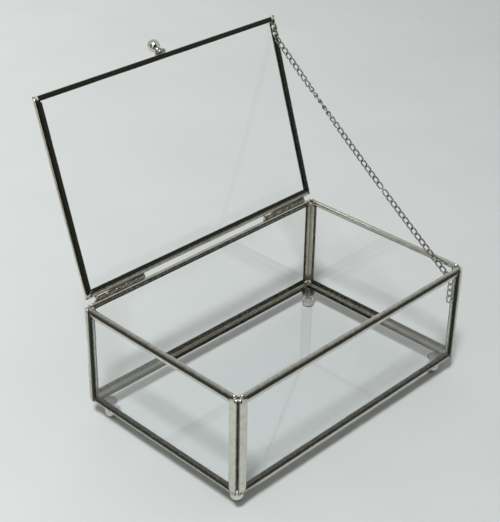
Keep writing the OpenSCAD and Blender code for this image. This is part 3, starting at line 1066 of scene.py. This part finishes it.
for n, node in enumerate(chain_nodes):
    slope = slope_of(n)
    direction = Vector((0, math.cos(slope), math.sin(slope)))
    start = pivots[n] if n < box_runs else pivots[n] - direction * pitch * LINKS_PER_RUN
    rolls = [chain_roll(n * LINKS_PER_RUN + k) for k in range(LINKS_PER_RUN)]
    link_run("links_" + node, start, direction, LINKS_PER_RUN, pitch, link_length, rolls, node, node)

low, high = node_box("chain_box_end")
tail_count = round((high.z - low.z - link_length) / pitch) + 1
tail_start = Vector((pivots[0].x, pivots[0].y, low.z + wire_r))
link_run("links_box_end", tail_start, Vector((0, 0, 1)), tail_count, pitch, link_length,
         [0.0] * tail_count, "chain_box_end", "box")
lid_direction = (opened.to_3x3() @ Vector((0, -1, 0))).normalized()
lid_count = round((end_high.y - end_low.y - link_length) / pitch) + 1
link_run("links_lid_end", pivots[-1], lid_direction, lid_count, pitch, link_length,
         [math.pi] * lid_count, "chain_lid_end", "lid")
print("chain pitch", round(pitch * 1000, 2), "mm,", LINKS_PER_RUN * len(chain_nodes), "free links")

# %% [markdown]
# Solder holds both ends of the chain: a ragged column in the corner of the box, and two dabs
# on the lid's rail.

# %% Solder on the chain's ends
BLOB_SIZE = (1.2 * MM, 1.2 * MM, 1.9 * MM)
SPOT_SIZE = (1.5 * MM, 1.3 * MM, 0.95 * MM)
BLOBS = 4

low, high = node_box("solder_chain_box")
centre = 0.5 * (low + high)
step = (high.z - low.z - 2 * MM) / (BLOBS - 1)
column = []
for k in range(BLOBS):
    place = Matrix.Translation((centre.x, centre.y, low.z + MM + step * k))
    column.append(moved(dab(BLOB_SIZE, 20 + k, lumps=0.25), place))
piece = finish(make_mesh("column_of_solder", *join_parts(column)), SOLDER, "box")
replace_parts(piece, "solder_chain_box")
low, high = flat_box(["solder_chain_lid"], shut)
centre = 0.5 * (low + high)
spots = []
for k, y in enumerate((low.y + 0.9 * MM, high.y - 0.9 * MM)):
    spot = dab(SPOT_SIZE, 30 + k, lumps=0.2)
    spots.append(moved(spot, Matrix.Translation((centre.x, y, centre.z))))
piece = make_mesh("dabs_chain_lid", *join_parts(spots))
piece.data.transform(opened)
finish(piece, SOLDER, "lid")
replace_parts(piece, "solder_chain_lid")
print("chain held by", BLOBS, "blobs in the corner and", len(spots), "spots on the lid")

# %% [markdown]
# Each hinge is a strip of metal rolled into five short tubes, three on the box and two on the
# lid, with one wire pin through them all. The tubes' ends are eased, so that a fine dark line
# shows between them.

# %% Tubes and leaves of the hinges
barrel_r = 1.3 * MM
bore_r = 0.65 * MM
leaf_thick = 0.5 * MM
tube_gap = 0.15 * MM
plate_ease = 0.1 * MM
tab_ease = 0.05 * MM
TUBES = 5


def hinge_tube(x0, x1, ease=0.15 * MM, around=28):
    """A short tube along X with eased edges, about the hinge line."""
    outline = [(bore_r, x0), (barrel_r - ease, x0), (barrel_r, x0 + ease),
               (barrel_r, x1 - ease), (barrel_r - ease, x1), (bore_r, x1)]
    turns = [2 * math.pi * k / around for k in range(around)]
    rings = [[Vector((x, r * math.cos(t), r * math.sin(t))) for t in turns] for r, x in outline]
    return skin(rings, closed_along=True)


def eased_plate(low, high, ease):
    """A plate from corner to corner with its long edges bevelled."""
    bm = bmesh.new()
    bmesh.ops.create_cube(bm, size=1)
    size = high - low
    for v in bm.verts:
        v.co = Vector(((v.co[i] + 0.5) * size[i] + low[i] for i in range(3)))
    bmesh.ops.bevel(bm, geom=bm.edges[:], offset=ease, segments=2, affect="EDGES")
    points = [v.co.copy() for v in bm.verts]
    faces = [tuple(v.index for v in f.verts) for f in bm.faces]
    bm.free()
    return points, faces


def hinge_leaf(side, part, first, plate, tab):
    """Tubes first, first + 2 and so on, the plate they grow from, and a tab behind each tube.

    A plate and a tab are given by their lowest and highest (Y, Z), from the hinge line.
    """
    node = f"hinge_{side}_{part}"
    turn = shut if part == "lid_leaf" else None
    low, high = flat_box([node], turn)
    length = high.x - low.x
    tube = length / TUBES
    parts = [eased_plate(Vector((0, *plate[0])), Vector((length, *plate[1])), plate_ease)]
    for k in range(first, TUBES, 2):
        x0 = k * tube + tube_gap / 2
        x1 = (k + 1) * tube - tube_gap / 2
        parts.append(hinge_tube(x0, x1))
        parts.append(eased_plate(Vector((x0, *tab[0])), Vector((x1, *tab[1])), tab_ease))
    at = Matrix.Translation((low.x, hinge_point.y, hinge_point.z))
    piece = make_mesh("tubes_" + node, *moved(join_parts(parts), at))
    if part == "lid_leaf":
        piece.data.transform(opened)
    finish(piece, HINGE_METAL, "lid" if part == "lid_leaf" else "box")
    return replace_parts(piece, node)


def box_leaf(side):
    """The leaf on the back rim: it hangs straight down behind the tubes."""
    low, high = node_box(f"hinge_{side}_box_leaf")
    inner_y = barrel_r - leaf_thick
    top = -barrel_r - tube_gap
    plate = ((inner_y, low.z - hinge_point.z), (barrel_r, top))
    tab = ((inner_y, top - 0.1 * MM), (barrel_r, 0))
    return hinge_leaf(side, "box_leaf", 0, plate, tab)


def lid_leaf(side):
    """The leaf on the lid's back edge, made while the lid is shut."""
    low, high = flat_box([f"hinge_{side}_lid_leaf"], shut)
    outer_y = low.y - hinge_point.y
    plate = ((outer_y, -1.0 * MM), (outer_y + leaf_thick, 1.5 * MM))
    tab = ((-barrel_r - 0.2 * MM, -0.5 * MM), (-bore_r - 0.1 * MM, 0.5 * MM))
    return hinge_leaf(side, "lid_leaf", 1, plate, tab)


def hinge_pin(side):
    """The wire pin, with a small head peened at each end."""
    low, high = node_box(f"hinge_{side}_pin")
    half = [(AXIS_R, 0.0), (0.5 * MM, 0.0), (0.8 * MM, 0.15 * MM), (0.6 * MM, 0.45 * MM)]
    outline = [(r, low.x + inset) for r, inset in half]
    outline += [(r, high.x - inset) for r, inset in reversed(half)]
    lie = Matrix.Translation((0, hinge_point.y, hinge_point.z)) @ Matrix.Rotation(math.pi / 2, 4, "Y")
    pin = make_mesh(f"pin_{side}", *moved(lathe(outline, 20), lie))
    finish(pin, SOLDER, "box")
    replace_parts(pin, f"hinge_{side}_pin")
    return low.x, high.x


for side in ("left", "right"):
    box_leaf(side)
    lid_leaf(side)
    ends = hinge_pin(side)
    print("hinge", side, "from", round(ends[0] * 1000, 1), "to", round(ends[1] * 1000, 1), "mm")

# %% [markdown]
# The box stands on a pale cloth. For a plain studio it becomes a pale floor that runs far
# behind. A little mottling keeps it from looking like paper, and a painted fall-off of light
# makes the floor brighter on the left and a little darker on the right, as in the photo.

# %% The floor
LIGHT_SLOPE = (0.74, -0.78, 0)
SLOPE_REACH = 0.4
BRIGHT_SIDE = 1.17
DIM_SIDE = 0.78


def slope_of_light(tree, where):
    """A painted fall-off of light: a factor that changes evenly in one direction across the middle of
    the floor.
    """
    along = add_node(tree, "VectorMath", {0: where, 1: LIGHT_SLOPE}, "DOT_PRODUCT")
    change = add_node(tree, "MapRange", {"Value": along.outputs["Value"],
                                         "From Min": -SLOPE_REACH, "From Max": SLOPE_REACH,
                                         "To Min": BRIGHT_SIDE, "To Max": DIM_SIDE})
    return change.outputs["Result"]


def floor_material():
    """A pale, faintly mottled cloth, with painted light that brightens one side and dims the other."""
    mat, tree, shader = new_material("Pale floor")
    where = add_node(tree, "TexCoord").outputs["Object"]
    tone = add_noise(tree, where, {"Scale": 12, "Detail": 4})
    cloth = mix_colours(tree, tone, (0.63, 0.66, 0.66, 1), (0.70, 0.73, 0.73, 1))
    # painted light: the cloth is scaled brighter on the left and darker on the right
    shade = add_node(tree, "VectorMath", {0: cloth, "Scale": slope_of_light(tree, where)}, "SCALE")
    feed(tree, shader, {"Base Color": shade.outputs["Vector"], "Roughness": 0.85})
    return mat


def flat_sheet(name, corners, material):
    """A flat four-cornered sheet that isn't part of the object."""
    obj = make_mesh(name, [Vector(c) for c in corners], [(0, 1, 2, 3)], smooth=False)
    obj.data.materials.append(material)
    return obj


FLOOR_HALF = 4.0
floor_corners = [(x * FLOOR_HALF, y * FLOOR_HALF, 0) for x, y in ((-1, -1), (1, -1), (1, 1), (-1, 1))]
flat_sheet("floor", floor_corners, floor_material())
print("floor is", 2 * FLOOR_HALF, "m square")

# %% [markdown]
# Polished metal shows its surroundings. In the photo the metal mirrors a dim room behind the
# camera, which draws a dark line along every bead. A photographer gets that line with a black
# card, and so does this scene: a curved card stands behind the camera, and a second one lies
# on the floor. Only mirrored rays see them, so they put no shade on anything.

# %% Black cards for the metal to mirror
# the camera's direction from the box, seen from above
camera_side = math.radians(-136)
CARD_R = 2.5
CARD_HALF_WIDTH = 62
CARD_LEVEL = 0.035


def card_material(name, colour, level):
    """A surface that only shows in mirrored rays, and not by way of the floor."""
    mat, tree, shader = new_material(name)
    tree.nodes.remove(shader)
    depth = add_node(tree, "LightPath").outputs["Diffuse Depth"]
    direct = add_math(tree, "LESS_THAN", depth, 0.5)
    strength = add_math(tree, "MULTIPLY", direct, level)
    glow = add_node(tree, "Emission", {"Color": (*colour, 1), "Strength": strength})
    feed(tree, tree.nodes["Material Output"], {"Surface": glow.outputs[0]})
    return mat


def mirrored_only(obj):
    """Hidden from every ray except mirrored ones."""
    obj.visible_camera = False
    obj.visible_diffuse = False
    obj.visible_transmission = False
    obj.visible_shadow = False
    obj.visible_volume_scatter = False
    return obj


def card_dome(radius, half_width_deg, top_deg, turned=0.0):
    """Part of a sphere on the camera's side, from the floor up to an angle."""
    points, faces = [], []
    around, up = 24, 14
    for j in range(up + 1):
        e = math.radians(top_deg * j / up)
        for i in range(around + 1):
            a = camera_side + turned + math.radians(half_width_deg * (2 * i / around - 1))
            flat = radius * math.cos(e)
            points.append(Vector((flat * math.cos(a), flat * math.sin(a), radius * math.sin(e))))
    for j in range(up):
        for i in range(around):
            a = j * (around + 1) + i
            faces.append((a, a + 1, a + around + 2, a + around + 1))
    return points, faces


def card_ring(inner, outer, half_width_deg, height):
    """Part of a flat ring on the camera's side, just over the floor."""
    points, faces = [], []
    around = 32
    for i in range(around + 1):
        a = camera_side + math.radians(half_width_deg * (2 * i / around - 1))
        points.append(Vector((inner * math.cos(a), inner * math.sin(a), height)))
        points.append(Vector((outer * math.cos(a), outer * math.sin(a), height)))
    for i in range(around):
        faces.append((2 * i, 2 * i + 1, 2 * i + 3, 2 * i + 2))
    return points, faces


def stage_card(name, part, material):
    """Stands a card on the stage, where only mirrored rays meet it."""
    card = make_mesh(name, *part)
    card.data.materials.append(material)
    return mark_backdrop(mirrored_only(card))


CARD = card_material("Black card", (1.0, 1.0, 0.85), CARD_LEVEL)
stage_card("card_behind_camera", card_dome(CARD_R, CARD_HALF_WIDTH, top_deg=82), CARD)
stage_card("card_on_floor", card_ring(0.6, CARD_R, CARD_HALF_WIDTH, height=0.4 * MM), CARD)
print("black cards cover", 2 * CARD_HALF_WIDTH, "degrees on the camera's side")

# %% [markdown]
# One large soft lamp stands to the camera's left and high up. It is where the shadows in the
# photo say it is: the box's shadow falls to the right and a little back. The lamp itself only
# lights things. What the metal mirrors is a bright disc in the same direction, and a tall dim
# window below it, which draws the pale streak down each ball and along each rounded edge. In
# this way the panes don't throw a second, mirrored patch of light on the floor, which the photo
# doesn't show either.

# %% The lamp and its mirror image
LAMP_AWAY = 6.0
LAMP_PLACE = Vector((-0.41, -0.27, 0.87)) * LAMP_AWAY
LAMP_SIZE = 1.1
# seen from the box, the disc is as wide as a lamp of DISC_SIZE would be at LAMP_AWAY
DISC_SIZE = 4.0
DISC_AWAY = 2.3
DISC_POINTS = 40
WINDOW_R = 2.35
WINDOW_LEVEL = 0.95
LAMP_POWER = 272
LAMP_COLOUR = (0.97, 0.985, 1.0)

lamp_data = bpy.data.lights.new("high_left_lamp", "AREA")
lamp_data.shape = "DISK"
lamp_data.size = LAMP_SIZE
lamp_data.energy = LAMP_POWER
lamp_data.color = LAMP_COLOUR
lamp = bpy.data.objects.new("high_left_lamp", lamp_data)
lamp.location = LAMP_PLACE
lamp.rotation_euler = (-LAMP_PLACE).to_track_quat("-Z", "Y").to_euler()
lamp.visible_transmission = False
lamp.visible_glossy = False
bpy.context.scene.collection.objects.link(lamp)

disc_place = LAMP_PLACE.normalized() * DISC_AWAY
disc_r = 0.5 * DISC_SIZE * disc_place.length / LAMP_PLACE.length
disc_turns = [2 * math.pi * k / DISC_POINTS for k in range(DISC_POINTS)]
disc_points = [Vector((disc_r * math.cos(t), disc_r * math.sin(t), 0)) for t in disc_turns]
disc_part = (disc_points, [tuple(range(DISC_POINTS))])
disc_turn = lamp.rotation_euler.to_matrix().to_4x4()
disc_level = LAMP_POWER / (math.pi * math.pi * (0.5 * DISC_SIZE) ** 2)
stage_card("lamp_disc", moved(disc_part, Matrix.Translation(disc_place) @ disc_turn),
           card_material("Bright disc", LAMP_COLOUR, disc_level))
stage_card("window_card", card_dome(WINDOW_R, half_width_deg=17, top_deg=66, turned=math.radians(-14)),
           card_material("Bright window", (1.0, 0.98, 0.93), WINDOW_LEVEL))
print("lamp stands", round(LAMP_PLACE.length, 1), "m away, its disc glows at", round(disc_level, 1))

# %% [markdown]
# The sky fills the shadows with a weak, slightly warm light. Seen directly, in a mirror or
# through a pane, it is a pale backdrop instead.

# %% The sky
FILL_LEVEL = 0.36
BACKDROP_LEVEL = 0.8

world = bpy.data.worlds.new("Pale room")
bpy.context.scene.world = world
world.use_nodes = True
sky = world.node_tree
sky.nodes.clear()
ray = add_node(sky, "LightPath").outputs
seen = add_math(sky, "MAXIMUM", ray["Is Camera Ray"], ray["Is Glossy Ray"])
seen = add_math(sky, "MAXIMUM", seen, ray["Is Transmission Ray"])
before_floor = add_math(sky, "LESS_THAN", ray["Diffuse Depth"], 0.5)
seen = add_math(sky, "MULTIPLY", seen, before_floor)
fill = add_node(sky, "Background", {"Color": (1.0, 0.97, 0.90, 1), "Strength": FILL_LEVEL})
pale = add_node(sky, "Background", {"Color": (0.68, 0.70, 0.69, 1), "Strength": BACKDROP_LEVEL})
room = add_node(sky, "MixShader", {0: seen, 1: fill.outputs[0], 2: pale.outputs[0]})
add_node(sky, "OutputWorld", {"Surface": room.outputs[0]})
print("sky fills the shadows at", FILL_LEVEL)

# %% [markdown]
# The camera was worked out from the photo's own straight edges. Its place and its turn are
# written as real values: where it stands, which way it looks, how far it tips down and how
# much it leans over.

# %% The camera
CAMERA_PLACE = Vector((-493.4, -451.87, 489.75)) * MM
TURN_FROM_Y = math.radians(-45.962)
TIP_DOWN = math.radians(30.399)
LEAN = math.radians(0.942)
FOCAL_PIXELS = 1286.97
LONG_SIDE = 522
SENSOR = 36.0

flat_right = Vector((math.cos(TURN_FROM_Y), math.sin(TURN_FROM_Y), 0))
flat_ahead = Vector((-math.sin(TURN_FROM_Y), math.cos(TURN_FROM_Y), 0))
ahead = flat_ahead * math.cos(TIP_DOWN) - Vector((0, 0, math.sin(TIP_DOWN)))
flat_up = flat_right.cross(ahead)
right = flat_right * math.cos(LEAN) + flat_up * math.sin(LEAN)
up = -flat_right * math.sin(LEAN) + flat_up * math.cos(LEAN)
camera_data = bpy.data.cameras.new("camera")
camera_data.sensor_width = SENSOR
camera_data.lens = FOCAL_PIXELS / LONG_SIDE * SENSOR
camera_data.clip_start = 0.01
camera_data.clip_end = 50
camera = bpy.data.objects.new("camera", camera_data)
camera.matrix_world = frame_matrix(CAMERA_PLACE, right, up, -ahead)
bpy.context.scene.collection.objects.link(camera)
bpy.context.scene.camera = camera
bpy.context.scene.view_settings.view_transform = "Standard"
print("lens", round(camera_data.lens, 2), "mm, looks along", [round(v, 3) for v in ahead])
